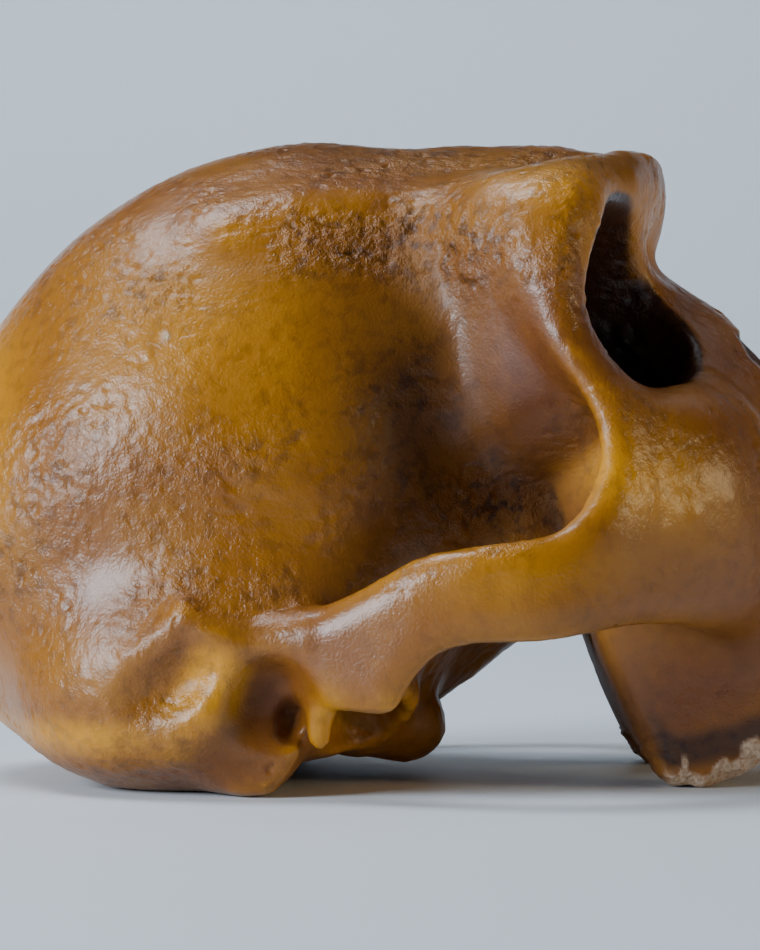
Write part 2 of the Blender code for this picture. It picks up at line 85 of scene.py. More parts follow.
camera = bpy.data.objects.new("camera", bpy.data.cameras.new("camera"))
camera.data.sensor_width = SENSOR
camera.data.lens = FOCAL_POINTS * SENSOR / PICTURE_HEIGHT
camera.data.clip_start = 0.05
camera.location = Vector((-MIDDLE_X, -CAMERA_DISTANCE, CAMERA_HEIGHT)) * MM
camera.rotation_euler = (radians(90), 0, 0)
bpy.context.collection.objects.link(camera)
bpy.context.scene.camera = camera
print("lens", round(camera.data.lens, 1), "mm")

# %% [markdown]
# ## Shader maths as Python
#
# A material is a web of nodes, and a web is hard to read as code. The small class below wraps one socket and
# overloads plus, minus and times, so that `1 - stain * 0.5` adds its own Math nodes. Every other node comes
# from one method that takes the node's type, its settings and what goes into its sockets. Colours are mixed
# with a Mix node, because a Math node would turn them grey.

# %% Socket maths and the node maker


class Socket:
    """One output socket whose sums, differences and products add Math nodes."""

    def __init__(self, paint, output):
        self.paint = paint
        self.output = output

    def math(self, operation, first, second=0.0, clamp=False):
        settings = {"operation": operation, "use_clamp": clamp}
        return self.paint.node("ShaderNodeMath", settings, {0: first, 1: second})

    def __add__(self, other):
        return self.math("ADD", self, other)

    def __sub__(self, other):
        return self.math("SUBTRACT", self, other)

    def __rsub__(self, other):
        return self.math("SUBTRACT", other, self)

    def __mul__(self, other):
        return self.math("MULTIPLY", self, other)

    def clamped(self):
        return self.math("ADD", self, 0.0, clamp=True)

    __radd__ = __add__
    __rmul__ = __mul__


class Paint:
    """A material under construction."""

    def __init__(self, name):
        self.material = bpy.data.materials.new(name)
        self.material.use_nodes = True
        self.tree = self.material.node_tree
        self.shader = self.tree.nodes["Principled BSDF"]

    def plug(self, target, value):
        """Link a socket to the target, or set a plain value there."""
        if isinstance(value, Socket):
            self.tree.links.new(value.output, target)
        else:
            target.default_value = value

    def node(self, kind, settings, sockets, out=0):
        """Add one node, with its settings and what goes into its sockets, and return its output."""
        node = self.tree.nodes.new(kind)
        for name, value in settings.items():
            if name == "stops":
                ramp = node.color_ramp
                while len(ramp.elements) < len(value):
                    ramp.elements.new(0.5)
                for element, (place, level) in zip(ramp.elements, value):
                    element.position = place
                    element.color = (level, level, level, 1)
            else:
                setattr(node, name, value)
        for key, value in sockets.items():
            self.plug(node.inputs[key], value)
        return Socket(self, node.outputs[out])

    def mix(self, share, first, second):
        """Mix two colours, with so much of the second."""
        return self.node("ShaderNodeMix", {"data_type": "RGBA"}, {0: share, 6: first, 7: second}, out=2)

    def ramp(self, value, *stops):
        """Grey level for a value, from stops of place and level."""
        return self.node("ShaderNodeValToRGB", {"stops": stops}, {0: value})

    def set(self, **values):
        """Feed the shader's own sockets, named with _ for a space."""
        for name, value in values.items():
            self.plug(self.shader.inputs[name.replace("_", " ")], value)


def colour(red, green, blue):
    """A colour as sockets take it, with nothing see-through."""
    return (red, green, blue, 1.0)


print("helpers for materials:", Socket.__name__, "and", Paint.__name__)

# %% [markdown]
# ## The room
#
# A glossy cast shows its surroundings as much as its own colour. The photograph has a pale blue-grey wall, a
# pale table and soft window light from the upper left, so the room here is a seamless pale floor that curves
# up into a low wall. A high wall would mirror itself in the varnish and whiten every edge, so the wall ends
# not far above the picture, and a faintly glowing one on either hand keeps the other views light.

# %% Floor and wall
FLOOR_DEPTH = 2.2
WALL_Y = 1.3
WALL_HEIGHT = 0.6
COVE = 0.35
COVE_STEPS = 12
FLOOR_HALF_WIDTH = 3.0


def seamless_floor():
    """A sheet that runs back along the table and curves up into the wall."""
    profile = [(-FLOOR_DEPTH, 0.0)]
    for step in range(COVE_STEPS + 1):
        angle = radians(90 * step / COVE_STEPS)
        profile.append((WALL_Y - COVE + COVE * sin(angle), COVE - COVE * cos(angle)))
    profile.append((WALL_Y, WALL_HEIGHT))
    points = [(x, y, z) for y, z in profile for x in (-FLOOR_HALF_WIDTH, FLOOR_HALF_WIDTH)]
    faces = [(2 * i, 2 * i + 1, 2 * i + 3, 2 * i + 2) for i in range(len(profile) - 1)]
    mesh = bpy.data.meshes.new("floor")
    mesh.from_pydata(points, [], faces)
    mesh.shade_smooth()
    return bpy.data.objects.new("floor", mesh)


floor = seamless_floor()
bpy.context.collection.objects.link(floor)
floor_paint = Paint("pale_table")
floor_paint.set(Base_Color=colour(0.76, 0.82, 0.87), Roughness=0.55)
floor.data.materials.append(floor_paint.material)
print("floor of", len(floor.data.polygons), "strips")

# %% Side walls
SIDE_WALL_X = 2.9
SIDE_WALL_HEIGHT = 1.3
# Just enough to be seen behind the skull, and too little to whiten its varnish.
SIDE_WALL_GLOW = 0.10


def side_walls():
    """A pale wall on either hand, so that the other views aren't set against darkness."""
    ends = [(-FLOOR_DEPTH, 0), (WALL_Y, 0), (WALL_Y, SIDE_WALL_HEIGHT), (-FLOOR_DEPTH, SIDE_WALL_HEIGHT)]
    points = [(x, y, z) for x in (-SIDE_WALL_X, SIDE_WALL_X) for y, z in ends]
    mesh = bpy.data.meshes.new("side_walls")
    mesh.from_pydata(points, [], [(0, 1, 2, 3), (7, 6, 5, 4)])
    return bpy.data.objects.new("side_walls", mesh)


walls = side_walls()
bpy.context.collection.objects.link(walls)
wall_paint = Paint("pale_wall")
wall_paint.set(Base_Color=colour(0.60, 0.66, 0.72), Roughness=0.8)
wall_paint.set(Emission_Color=colour(0.82, 0.92, 1.0), Emission_Strength=SIDE_WALL_GLOW)
walls.data.materials.append(wall_paint.material)
print("side walls at", SIDE_WALL_X, "m on either hand")

# %% [markdown]
# ## The light
#
# The window stands at the left and in front, and its reflection is the broad milky sheen on the vault. A
# patch of sky lights the crown from above. A small warm lamp at the right gives the spot on the cheek, and a
# long one over the table lights only the wall. They are all soft area lights, as a sun or a point would leave
# hard white dots in the varnish.

# %% Soft lights
ROOM_TINT = (0.62, 0.70, 0.82, 1)
ROOM_GLOW = 0.05
# Each light: name, place, what it points at, width, height, power in watts, colour.
LIGHTS = (
    ("window", (-0.92, -0.62, 0.42), (-0.02, 0, 0.05), 0.50, 0.50, 18, (0.78, 0.88, 1.0)),
    ("sky", (-0.42, 0.08, 1.10), (-0.03, 0, 0.07), 0.45, 0.45, 9.0, (0.80, 0.88, 1.0)),
    ("lamp", (0.96, -0.32, 0.30), (0.04, 0, 0.05), 0.22, 0.22, 2.4, (1.0, 0.76, 0.42)),
    ("wall", (0.0, 0.50, 0.9), (0.0, 1.3, 0.15), 1.8, 0.3, 5, (0.80, 0.90, 1.0)),
)


def soft_light(name, place, target, width, height, power, tint):
    """Hang one area light and aim it."""
    light = bpy.data.lights.new(name, "AREA")
    light.shape = "RECTANGLE"
    light.size, light.size_y = width, height
    light.energy = power
    light.color = tint
    obj = bpy.data.objects.new(name, light)
    obj.location = place
    obj.rotation_euler = (Vector(target) - Vector(place)).to_track_quat("-Z", "Y").to_euler()
    bpy.context.collection.objects.link(obj)


for row in LIGHTS:
    soft_light(*row)

world = bpy.data.worlds.new("room")
bpy.context.scene.world = world
world.use_nodes = True
background = world.node_tree.nodes["Background"]
background.inputs["Color"].default_value = ROOM_TINT
background.inputs["Strength"].default_value = ROOM_GLOW
print(len(LIGHTS), "lights")

# %% [markdown]
# ## Drawing the skull as a field
#
# A skull has no flat faces and no straight edges, so pushing single vertices about would never end. It is
# drawn instead as a field: a function that says for any point how far it lies from the bone, negative
# inside. Simple forms are filleted together with `join` and hollowed out with `cut`, much as a modeller adds
# clay to a clay head and scoops it away. Lengths are in millimetres: x runs forward from the place that the
# camera looks at, y to the skull's left and z up from the table.

# %% Filleted joins and cuts


def dist(*parts):
    """Length of the vector that has these parts."""
    return np.sqrt(sum(part * part for part in parts))


def join(a, b, k):
    """Union of two fields, filleted over k."""
    return np.minimum(a, b) - np.maximum(k - np.abs(a - b), 0) ** 2 / (4 * k)


def cut(a, b, k):
    """Field a less field b, with its edge rounded over k."""
    return np.maximum(a, -b) + np.maximum(k - np.abs(a + b), 0) ** 2 / (4 * k)


def meet(a, b, k):
    """What two fields share, with its edge rounded over k."""
    return np.maximum(a, b) + np.maximum(k - np.abs(a - b), 0) ** 2 / (4 * k)


print("two faces 1 mm apart, joined over 4 mm, swell by", -join(0.0, 1.0, 4), "mm")

# %% Steps, turns and the two basic forms


def ramp(v, low, high):
    """Smooth step from 0 at low to 1 at high."""
    t = np.clip((v - low) / (high - low), 0, 1)
    return t * t * (3 - 2 * t)


def turn(x, z, centre, tilt):
    """Coordinates along and across a direction that climbs by tilt degrees."""
    dx, dz = x - centre[0], z - centre[1]
    c, s = cos(radians(tilt)), sin(radians(tilt))
    return dx * c + dz * s, dz * c - dx * s


def ellipsoid(p, centre, radii, tilt=0, yaw=0):
    """Near distance to an ellipsoid that is tilted in the side view and yawed as seen from above."""
    x, y, z = p
    dx, dy = turn(x, y, centre, yaw)
    along, across = turn(dx, z - centre[2], (0, 0), tilt)
    a, b, c = along / radii[0], dy / radii[1], across / radii[2]
    size = dist(a, b, c) + 1e-9
    slope = dist(a / radii[0], b / radii[1], c / radii[2]) + 1e-9
    return size * (size - 1) / slope


def strand(p, points):
    """A rounded rib through points given as x, y, z and radius."""
    x, y, z = p
    best = None
    for (ax, ay, az, ar), (bx, by, bz, br) in zip(points, points[1:]):
        ux, uy, uz = bx - ax, by - ay, bz - az
        t = ((x - ax) * ux + (y - ay) * uy + (z - az) * uz) / (ux * ux + uy * uy + uz * uz)
        t = np.clip(t, 0, 1)
        d = dist(x - ax - t * ux, y - ay - t * uy, z - az - t * uz) - ar - t * (br - ar)
        best = d if best is None else np.minimum(best, d)
    return best


ball = ellipsoid((20, 0, 0), (0, 0, 0), (10, 10, 10))
print("a place 20 mm from the middle of a 10 mm ball is", round(float(ball), 2), "mm away from it")

# %% Outlines and flowing curves


def outline(x, z, points):
    """Distance to a closed outline in the side view, negative inside it."""
    best, inside = None, None
    for (ax, az), (bx, bz) in zip(points, points[1:] + points[:1]):
        ux, uz = bx - ax, bz - az
        t = np.clip(((x - ax) * ux + (z - az) * uz) / (ux * ux + uz * uz), 0, 1)
        d = (x - ax - t * ux) ** 2 + (z - az - t * uz) ** 2
        crosses = ((az > z) != (bz > z)) & (x < ux * (z - az) / (uz if uz else 1e-9) + ax)
        best = d if best is None else np.minimum(best, d)
        inside = crosses if inside is None else inside ^ crosses
    return np.sqrt(best) * np.where(inside, -1, 1)


def smooth_curve(points, steps, closed=False):
    """A flowing curve through a few points, with so many steps in each span."""
    pts = [np.array(q, float) for q in points]
    n = len(pts)
    out = []
    for i in range(n if closed else n - 1):
        if closed:
            a, b, c, d = pts[i - 1], pts[i], pts[(i + 1) % n], pts[(i + 2) % n]
        else:
            a, b, c, d = pts[max(i - 1, 0)], pts[i], pts[i + 1], pts[min(i + 2, n - 1)]
        for t in np.arange(steps) / steps:
            flow = (c - a) * t + (2 * a - 5 * b + 4 * c - d) * t ** 2 + (3 * b - a - 3 * c + d) * t ** 3
            out.append(tuple(b + 0.5 * flow))
    if not closed:
        out.append(tuple(pts[-1]))
    return out


square = [(0, 0), (10, 0), (10, 10), (0, 10)]
print("the middle of a 10 mm square reads", outline(5.0, 5.0, square), "mm")

# %% [markdown]
# ## Braincase
#
# The vault's side outline is 24 radii about one centre, one for every 15 degrees, with a flowing curve
# between them. Across, it is a little squarer than an ellipse, and it narrows behind the eye sockets and
# towards the roof. `LIE` is the angle at which this skull has rolled back from its upright pose. Stacked
# ellipsoids would show their seams on so large and smooth a form.

# %% Braincase
LIE = 38.0
EAR = (-14.9, 17.5)
VAULT_CENTRE = (-14.0, 54.0)
VAULT_REACH = (42, 46, 54, 70, 60.6, 55.2, 54, 52.9, 52.8, 53.4, 54.8, 58, 63, 67.0, 67.5, 61.5,
               54.0, 49.0, 45, 45, 45, 43, 41, 41)
VAULT_HALF_WIDTH = 48.5
VAULT_MEAN_HALF = 47
VAULT_POWER = 2.25


def vault_share(x, z):
    """How far out towards the vault's outline a place in the side view lies, 1 on the outline."""
    dx, dz = x - VAULT_CENTRE[0], z - VAULT_CENTRE[1]
    r = np.array(VAULT_REACH, float)
    n = len(r)
    s = (np.arctan2(dz, dx) / (2 * pi) * n) % n
    i = np.floor(s).astype(int)
    t = s - i
    a, b, c, d = (r[(i + j) % n] for j in (-1, 0, 1, 2))
    flow = (c - a) * t + (2 * a - 5 * b + 4 * c - d) * t ** 2 + (3 * b - a - 3 * c + d) * t ** 3
    return dist(dx, dz) / (b + 0.5 * flow)


def vault_width(x, z):
    """Half width of the vault: it narrows behind the sockets and towards its roof."""
    u, w = turn(x, z, EAR, LIE)
    return VAULT_HALF_WIDTH - 16 * ramp(u, 8, 92) - 3 * ramp(w, 45, 80)


def braincase(p):
    """Field of the vault."""
    x, y, z = p
    size = (vault_share(x, z) ** VAULT_POWER + (y / vault_width(x, z)) ** VAULT_POWER) ** (1 / VAULT_POWER)
    return (size - 1) * VAULT_MEAN_HALF


def vault_side(x, z):
    """How far out the vault's side lies at a place in the side view."""
    share = float(min(vault_share(x, z), 1))
    return float(vault_width(x, z)) * (1 - share ** VAULT_POWER) ** (1 / VAULT_POWER)


print("braincase", 2 * VAULT_HALF_WIDTH, "mm wide")

# %% [markdown]
# ## Brow and temporal line
#
# Over the sockets runs a low bar of bone. From its outer corner a ridge sweeps back over the side wall, where
# the chewing muscle began. Both are ribs of beads with a generous fillet, and the slope behind the brow is
# filled so that the roofline runs flat, as the photograph shows it.

# %% Brow, forehead and temporal line
TEMPORAL_ROUTE = ((24, 91.4), (17, 92.2), (8, 93.2), (-3, 93.6), (-14, 92.6), (-24, 90))
BROW = ((43.4, 0, 100, 5.2), (42.3, 9, 100.1, 5.0), (38.0, 21, 99.2, 5.0), (30.8, 33, 96.4, 4.6),
        (25.8, 40.0, 92, 4.0), (25.4, 42.5, 85, 3.6))
BROW_EDGE = ((46.2, 0, 103.5, 2.2), (44.4, 9, 103.6, 2.1), (40.0, 18, 102.6, 2.0))


def temporal_line(p):
    """The ridge that runs back over the side wall from the brow's outer corner."""
    ridge = [(x, vault_side(x, z) - 3.7 + 0.09 * x, z, 2.6 + 0.01 * x) for x, z in TEMPORAL_ROUTE]
    return strand(p, [(30.5, 39.5, 92, 3.6)] + ridge)


def forehead(p):
    """The low slope that fills the hollow behind the brows."""
    middle = strand(p, ((16, 0, 95.4, 9), (37, 0, 96.6, 7.5)))
    sides = ellipsoid(p, (23, 24, 88), (16, 17, 12.5))
    corners = ellipsoid(p, (22, 34.5, 88.5), (8, 8.5, 10.5))
    return join(join(middle, sides, 8), corners, 8)


def brow(p):
    """The bar over the sockets, the swelling between them and its upper edge."""
    glabella = strand(p, ((41.4, 0, 95.5, 6.6), (38.4, 8.5, 96, 5.6), (38.2, 14, 95.2, 4.6)))
    return join(join(strand(p, BROW), glabella, 4), strand(p, BROW_EDGE), 2.5)


print("brow runs to", BROW[-1][1], "mm from the midline on each side")

# %% [markdown]
# ## Sockets
#
# Each socket is one long ellipsoid, tipped with the skull and turned a little outward. A slightly larger one
# gives the bone around it, cut off at the rim, so that the rim has an even thickness.

# %% Sockets
SOCKET_CENTRE = (38.5, 28.3, 77.4)
SOCKET_RADII = (32.0, 17.2, 15.3)
SOCKET_TILT = 39.0
SOCKET_YAW = 24.0
SOCKET_WALL = 5
# The rim's plane: a point on it and the direction it faces.
RIM_POINT = (40, 26, 80)
RIM_FACING = (0.88, 0.42, 0.22)


def socket(p, wall=0.0):
    """Field of one eye socket, larger all round by the wall."""
    radii = tuple(radius + wall for radius in SOCKET_RADII)
    return ellipsoid(p, SOCKET_CENTRE, radii, SOCKET_TILT, SOCKET_YAW)


def socket_shell(p):
    """Bone around the socket, ending at a rim that runs back towards the cheek."""
    ahead = sum((place - on_rim) * facing for place, on_rim, facing in zip(p, RIM_POINT, RIM_FACING))
    return meet(socket(p, SOCKET_WALL), ahead, 2.5)


print("sockets", 2 * SOCKET_RADII[1], "by", 2 * SOCKET_RADII[2], "mm")

# %% [markdown]
# ## Snout and cheeks
#
# The snout is its midline profile in the side view, rounded off sideways as depth below the profile grows,
# and met with the horseshoe of the jaw. The cheek and its arch are a plate that follows an outline in the
# side view and bows outward along the skull. A bent tube would miss the plate's flat outer face and thin
# lower edge.

# %% Snout
NOSE_LINE = [(47.8, 93), (47.9, 89), (49.7, 86.6), (53.8, 83.9), (60.7, 79.3), (67.8, 73.2), (75.6, 65.4),
             (82.5, 57.8), (90, 54.5), (98, 52), (106, 49.6)]
SNOUT = [(44, 97)] + NOSE_LINE + [
    (111, 46.6), (112, 43.5), (109, 39.5), (100, 30.5), (88, 20.5), (76, 11.5), (65, 5), (58, 1.6),
    (53, -0.6), (49, -0.8), (45, 3), (41.5, 9), (38.5, 16), (35, 25.5), (32, 40), (30, 55), (32, 72),
    (38, 88)]
AHEAD = [(40, 120)] + NOSE_LINE + [(112, 46), (124, 28), (124, -30), (-60, -30), (-60, 120)]
PALATE_TILT = 36.0
PALATE_BACK = (50.0, 0.0)


def snout(p):
    """Field of the snout, from the nose line down to the jaw's edge."""
    x, y, z = p
    side = outline(x, z, smooth_curve(SNOUT, 2, True))
    depth = -outline(x, z, AHEAD)
    along, above = turn(x, z, PALATE_BACK, PALATE_TILT)
    power = 1.5 + 0.6 * ramp(along, 20, 66) * (1 - ramp(above, 16, 46))
    width = 33.5 + 3 * ramp(above, 8, 34) - 18 * ramp(z, 66, 96)
    behind = np.maximum(1 - depth / 30, 0)
    flank = ((behind ** power + (y / width) ** power) ** (1 / power) - 1) * 30
    ahead = np.maximum((along - 22) / 54, 0)
    arcade = ((ahead ** 2.3 + (y / 32.5) ** 2.3) ** (1 / 2.3) - 1) * 32
    return meet(meet(flank, side, 5), arcade, 7)


print("snout reaches forward to x =", max(x for x, z in SNOUT), "mm")

# %% Cheek and arch
CHEEK = [(-24, 25), (-18, 27.8), (-14, 28.6), (-7.8, 31), (-1.6, 34.1), (3.1, 37.0), (7.7, 39.0),
         (15.4, 40.2), (23.1, 41.2), (27.8, 42.7), (31.2, 45.8), (33.7, 50.4), (34.7, 55.1), (33.8, 60),
         (31.4, 65.3), (28.4, 70.6), (26.4, 75.6), (25.2, 80.5), (24.4, 86), (24, 92), (29.4, 94), (30, 88.6),
         (29.4, 80.7), (30.5, 74.5), (33.6, 70.6), (38.6, 66.8), (45, 63.6), (51.5, 63), (58.5, 60), (65, 53),
         (68, 40), (64, 30), (58, 27), (48, 27.3), (40.6, 27.6), (34, 26.9), (24.7, 25.5), (14.7, 25.2),
         (9.5, 23.8), (6.2, 21), (4.2, 18), (2.9, 15.5), (0.8, 14.0), (-5.4, 14.3), (-9, 15), (-16, 19),
         (-24, 20)]
FLARE = ((-24, 46), (-12, 51.3), (0, 57.3), (14, 61.2), (27, 60.4), (36, 56.3), (46, 48.2), (56, 38.6),
         (70, 24))


def cheek(p):
    """Field of the cheek bone and its arch."""
    x, y, z = p
    side = outline(x, z, smooth_curve(CHEEK, 2, True))
    flare = np.array(smooth_curve(FLARE, 8))
    lean = 0.5 * meet(z - 50, 0, 14) + 0.12 * meet(40 - z, 0, 14) * ramp(x, 20, 45)
    middle = np.interp(x, flare[:, 0], flare[:, 1]) - lean
    half = 3.6 + 1.4 * ramp(x, 28, 42) + 1.6 * ramp(-x, 0, 16)
    rim = np.maximum(1 + side / 5.5, 0)
    return ((rim ** 2.2 + (np.abs(y - middle) / half) ** 2.2) ** (1 / 2.2) - 1) * 3.8


# Ridge on the snout's side, from the socket's inner corner down beside the nose.
SNOUT_RIDGE = ((51.0, 25, 66.8, 1.2), (53.6, 26, 66, 1.4), (56.4, 28.5, 63, 1.5), (58.9, 31.5, 59.8, 1.6),
               (60.2, 33.8, 56, 1.6), (61.0, 35.2, 51, 1.4))

print("cheek arches bow out to", 2 * max(y for x, y in FLARE), "mm between their middles")

# %% [markdown]
# ## Ear region and base
#
# Behind the arch the wall swells around the ear, and two crests mark where the muscles of the jaw and of the
# neck took hold. The underside is mostly hidden, so it is drawn from what such skulls have: condyles, the
# opening for the spine and the stem of bone that climbs to the face.

# %% Ear region and base
SUPRAMASTOID_CREST = ((-45, 42.5, 14.5, 1.6), (-39.5, 47.4, 19.2, 2.3), (-34.5, 50.0, 24.2, 2.6),
                      (-30.6, 51.4, 28.4, 2.7), (-26.5, 51.8, 26, 2.6), (-20, 51, 24.5, 2.6),
                      (-12, 51.2, 25.6, 3.6))
NUCHAL_CREST = ((-66, 2, 15, 2.5), (-60, 16, 12, 2.5), (-51, 31, 10.5, 2.8), (-41.5, 41.5, 10, 3),
                (-32, 46.8, 10.5, 3), (-27.5, 49, 15.5, 3), (-25.5, 50.2, 21, 3))
MASTOID_EDGE = ((-21, 45.5, 1.9, 1.5), (-18, 46.8, 2.4, 1.5), (-15.8, 47.4, 4.8, 1.4),
                (-14.2, 47.8, 7.6, 1.3))


def ear_region(p):
    """The swollen wall around the ear, with the mastoid, the neck's rounded seat and its crest."""
    body = ellipsoid(p, (-25, 31, 23), (27, 21, 20), 15)
    mastoid = ellipsoid(p, (-20.8, 42.5, 10.7), (8.9, 7.4, 10.8))
    neck_seat = ellipsoid(p, (-36, 24, 16.5), (24, 24, 16), 3)
    body = join(join(body, mastoid, 6), neck_seat, 12)
    return join(join(body, strand(p, NUCHAL_CREST), 7), strand(p, MASTOID_EDGE), 3)


def base(p):
    """Underside between the ears: its body, the two condyles and the stem that climbs to the face."""
    body = ellipsoid(p, (-7, 27, 14.5), (13, 13, 9))
    front = ellipsoid(p, (3.8, 12, 9.4), (7.4, 6.4, 6.6))
    condyle = join(front, ellipsoid(p, (-4, 17, 10.5), (8, 7, 6.5)), 4)
    stem = strand(p, ((2, 0, 18, 9), (12, 0, 24, 8.5), (22, 0, 34, 9)))
    root = ellipsoid(p, (22, 8, 40), (16, 20, 15), LIE)
    return join(join(join(body, condyle, 3), stem, 5), root, 6)


print("crest behind the ear stands", max(row[1] for row in SUPRAMASTOID_CREST), "mm from the midline")

# %% [markdown]
# ## Hollows, and everything joined
#
# Sockets, nose, palate, the opening for the spine, the jaw joint and the ear are scooped out last, after
# every form is joined, so that no fillet runs back into them. Each hollow is an ellipsoid with its own
# rounding: a small one leaves a crisp rim and a large one a worn rim. Walls built round an empty middle would
# be another way, but here nobody sees how thick the bone is.

# %% Hollows and the whole skull
# Each hollow: name, centre, radii, tilt in degrees and the rounding of its rim.
HOLLOWS = (
    ("nose opening", (73, 0, 68.0), (16.5, 10.5, 10.5), -45, 1.5),
    ("nostril", (77.0, 5.6, 62.0), (10, 7.4, 9), -45, 2.0),
    ("nose passage", (62, 0, 54), (20, 9, 14), 38, 2.0),
    ("palate", (72.2, 0, 13.7), (40, 20.5, 15), PALATE_TILT, 4.0),
    ("rear nostril", (37, 8, 33), (12, 6, 10), 38, 2.0),
    ("foramen magnum", (-8, 0, 8), (15, 12.5, 20), 0, 2.5),
    ("jaw joint", (-1.5, 36, 10.5), (7.5, 13, 6.5), 0, 3.0),
    ("ear hollow", (-17.8, 57.0, 14.6), (7.8, 10.0, 6.6), 75, 3.5),
    ("dip below the crest", (-33.5, 57.0, 17.6), (9.0, 7.5, 4.2), 25, 5.0),
    ("ear canal", (-14.4, 50, 12.4), (2.6, 7, 3.9), 0, 1.2),
)
# Ridge of bone behind the jaw joint, which ends below in a short spike.
BEHIND_JOINT = ((-10.2, 49, 20, 4.0), (-9.9, 49.2, 14.5, 3.0), (-9.4, 48.8, 9.3, 1.5))


def skull(p):
    """The whole skull: negative inside, zero on its surface. The two halves mirror each other."""
    solid = join(braincase(p), temporal_line(p), 10)
    solid = join(solid, forehead(p), 8)
    solid = join(solid, ear_region(p), 9)
    solid = join(solid, base(p), 5)
    solid = join(solid, socket_shell(p), 9)
    solid = join(solid, brow(p), 6)
    cheek_root = ellipsoid(p, (47.5, 33.5, 46.5), (14, 14.5, 16.5), 10)
    solid = join(solid, join(snout(p), cheek_root, 9), 4)
    solid = join(solid, strand(p, SUPRAMASTOID_CREST), 3.5)
    solid = join(solid, cheek(p), 3.5 + 4.5 * ramp(p[0], 2, 26))
    solid = join(solid, strand(p, BEHIND_JOINT), 3)
    solid = join(solid, strand(p, SNOUT_RIDGE), 3.5)
    solid = cut(solid, socket(p), 2)
    for name, centre, radii, tilt, rounding in HOLLOWS:
        solid = cut(solid, ellipsoid(p, centre, radii, tilt), rounding)
    return solid


print(len(HOLLOWS), "hollows and a socket are scooped from each half")

# %% [markdown]
# ## From field to mesh
#
# The field is sampled on a grid of one-millimetre cells. Only one half of the skull is worked out, and the
# other is its mirror image. Wherever a cell's corners lie on both sides of zero, one point is set at the mean
# of the crossings, and the points of neighbouring cells are joined into squares. This is called surface nets.
# Places where two sheets would touch are filled first, so that the mesh closes cleanly. It gives even
# squares, which take fine relief well, where remeshed primitives would blur the rims.

# %% Sample the field
CELL = 1.0
GRID_LOW = (-82.0, -70.0, -3.0)
GRID_HIGH = (114.0, 70.0, 112.0)
FLOOR_FILLET = 0.8


def sampled(cell):
    """The field on a grid of cells, the left half worked out and mirrored; also the grid's corner."""
    xs = np.arange(GRID_LOW[0], GRID_HIGH[0], cell)
    ys = np.arange(cell / 2, GRID_HIGH[1], cell)
    zs = np.arange(GRID_LOW[2], GRID_HIGH[2], cell)
    p = (xs[:, None, None], ys[None, :, None], zs[None, None, :])
    half = meet(skull(p), -p[2], FLOOR_FILLET)
    values = np.concatenate([half[:, ::-1], half], axis=1)
    return values, np.array((xs[0], -ys[-1], zs[0]))


values, grid_corner = sampled(CELL)
print("grid of", values.shape, "cells,", round(float((values < 0).sum()) * CELL ** 3 / 1000), "cm3 of bone")

# %% Fill where sheets would touch
JUST_INSIDE = -0.02
CORNERS = [(i, j, k) for i in (0, 1) for j in (0, 1) for k in (0, 1)]
EDGES = [(a, b) for a in range(8) for b in range(a + 1, 8)
         if sum(abs(m - n) for m, n in zip(CORNERS[a], CORNERS[b])) == 1]


def fill_doubtful(values):
    """Fill the grid places where the surface could run two ways, so that it never touches itself."""
    changed = True
    while changed:
        changed = False
        for order in ((0, 1, 2), (1, 2, 0), (2, 0, 1)):
            v = values.transpose(order)
            near, far = v[:-1, :-1], v[1:, 1:]
            left, right = v[1:, :-1], v[:-1, 1:]
            same = ((near < 0) == (far < 0)) & ((left < 0) == (right < 0))
            doubtful = same & ((near < 0) != (left < 0))
            if doubtful.any():
                changed = True
                for corner in (near, far, left, right):
                    corner[doubtful & (corner >= 0)] = JUST_INSIDE
        for i, j in ((0, 0), (0, 1), (1, 0), (1, 1)):
            flipped = values[:, ::-1] if i else values
            flipped = flipped[:, :, ::-1] if j else flipped
            corners = [flipped[a:a - 1 or None, b:b - 1 or None, c:c - 1 or None] for a, b, c in CORNERS]
            count = sum((corner < 0).astype(int) for corner in corners)
            pair = (count == 2) & (corners[0] < 0) & (corners[7] < 0)
            pair |= (count == 6) & (corners[0] >= 0) & (corners[7] >= 0)
            if pair.any():
                changed = True
                for corner in corners:
                    corner[pair & (corner >= 0)] = JUST_INSIDE
    return values


bone_before = (values < 0).sum()
values = fill_doubtful(values)
print((values < 0).sum() - bone_before, "places of the grid filled")

# %% Surface nets


def net_points(inside, cell):
    """A point for each mixed cell, and the number of each cell's point."""
    nx, ny, nz = (n - 1 for n in values.shape)
    count = sum(inside[i:nx + i, j:ny + j, k:nz + k].astype(np.int8) for i, j, k in CORNERS)
    mixed = (count > 0) & (count < 8)
    number = np.full(mixed.shape, -1)
    number[mixed] = np.arange(mixed.sum())
    picked = [values[i:nx + i, j:ny + j, k:nz + k][mixed] for i, j, k in CORNERS]
    total = np.zeros((mixed.sum(), 3))
    hits = np.zeros(mixed.sum())
    for a, b in EDGES:
        crossing = (picked[a] < 0) != (picked[b] < 0)
        t = picked[a][crossing] / (picked[a][crossing] - picked[b][crossing])
        start, end = np.array(CORNERS[a], float), np.array(CORNERS[b], float)
        total[crossing] += start + t[:, None] * (end - start)
        hits[crossing] += 1
    return grid_corner + cell * (np.argwhere(mixed) + total / hits[:, None]), number


